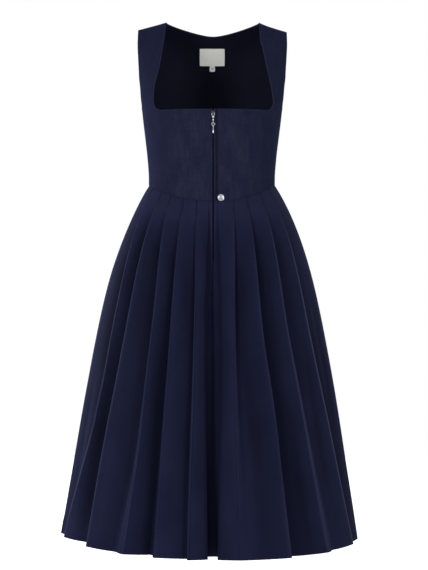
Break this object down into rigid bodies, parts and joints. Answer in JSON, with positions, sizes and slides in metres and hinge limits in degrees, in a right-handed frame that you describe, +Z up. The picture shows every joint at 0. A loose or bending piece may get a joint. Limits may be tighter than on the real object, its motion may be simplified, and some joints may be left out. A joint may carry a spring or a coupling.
{
  "type": "dirndl",
  "caption": "Sleeveless dirndl with square neckline, front zip with ornate pull, and pleated flaring skirt, hollow as when worn.",
  "frame": {"origin": "where a wearer's shoulders hold it: midway between the points where the neckline meets the two shoulder seams", "axes": "+Z up, -Y towards the front, +X towards the wearer's left"},
  "size_m": [0.6442, 0.5682, 1.1207],
  "materials": {
    "bodice_cloth": "matte slubby midnight-blue weave",
    "skirt_cloth": "matte smooth midnight-blue weave",
    "lining": "plain near-black lining weave",
    "label": "bare off-white woven ribbon",
    "zip_tape": "dark blue woven tape",
    "silver_metal": "polished silver-coloured casting",
    "button_metal": "pale silver-coloured metal button"
  },
  "bodies": {
    "garment": {"bodice_front_left": "bodice_cloth", "bodice_front_right": "bodice_cloth", "bodice_back": "bodice_cloth", "back_lining": "lining", "neck_label": "label", "size_tab": "label", "skirt_front_left": "skirt_cloth", "skirt_front_right": "skirt_cloth", "skirt_back": "skirt_cloth", "zip_tape": "zip_tape", "zip_slider": "silver_metal", "apron_button": "button_metal"},
    "zip_pull": {"zip_pull": "silver_metal"}
  },
  "joints": [
    {"name": "pull_swing", "type": "hinge", "parent": "garment", "child": "zip_pull", "pos_m": [0, -0.11423, -0.20969], "axis": [-1, 0, 0], "range_deg": [0, 150]}
  ]
}
